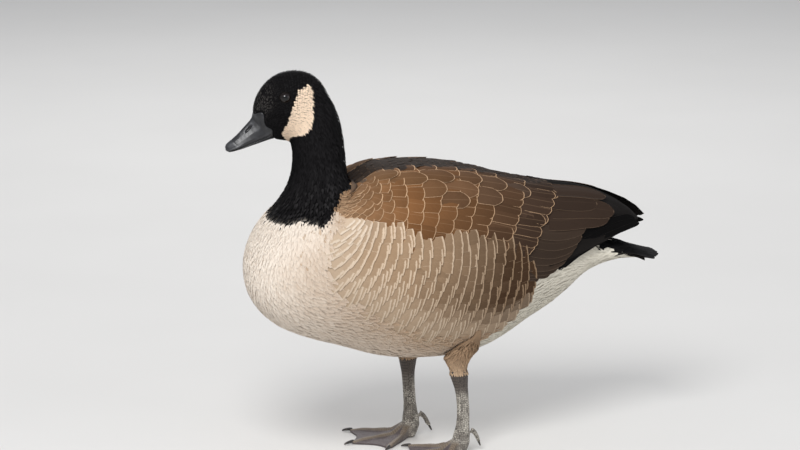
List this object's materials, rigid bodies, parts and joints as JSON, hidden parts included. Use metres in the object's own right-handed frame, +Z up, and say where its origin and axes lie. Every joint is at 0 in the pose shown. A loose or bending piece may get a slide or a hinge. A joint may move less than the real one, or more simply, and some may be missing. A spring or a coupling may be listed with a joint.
{
  "type": "canada goose",
  "caption": "Still life-size model of a standing adult goose with a long black neck, a pale cheek patch, barred body feathers, folded wings and webbed feet flat on the floor.",
  "frame": {"origin": "on the floor, under the middle of the bounding box", "axes": "+Z up, the bird faces -X, its left side is towards -Y"},
  "size_m": [0.5959, 0.218, 0.5092],
  "materials": {
    "black_plumage": "matt, velvety short feathers",
    "body_plumage": "matt soft feathers with pale fringes",
    "wing_plumage": "smooth matt feathers with pale fringes",
    "tail_plumage": "smooth black feathers",
    "thigh_plumage": "matt short downy feathers",
    "bill_horn": "smooth dark horn, soft gloss",
    "claw_horn": "smooth horn",
    "leg_skin": "scaly dry skin",
    "eye": "wet gloss"
  },
  "bodies": {
    "root": {"bill_lower": "bill_horn", "bill_upper": "bill_horn", "claw_left_hind": "claw_horn", "claw_left_inner": "claw_horn", "claw_left_middle": "claw_horn", "claw_left_outer": "claw_horn", "claw_right_hind": "claw_horn", "claw_right_inner": "claw_horn", "claw_right_middle": "claw_horn", "claw_right_outer": "claw_horn", "eye_left": "eye", "eye_right": "eye", "foot_left": "leg_skin", "foot_right": "leg_skin", "head": "black_plumage", "hind_toe_left": "leg_skin", "hind_toe_right": "leg_skin", "leg_left": "leg_skin", "leg_right": "leg_skin", "neck": "black_plumage", "tail": "tail_plumage", "thigh_left": "thigh_plumage", "thigh_right": "thigh_plumage", "trunk": "body_plumage", "wing_left": "wing_plumage", "wing_right": "wing_plumage"}
  },
  "joints": []
}
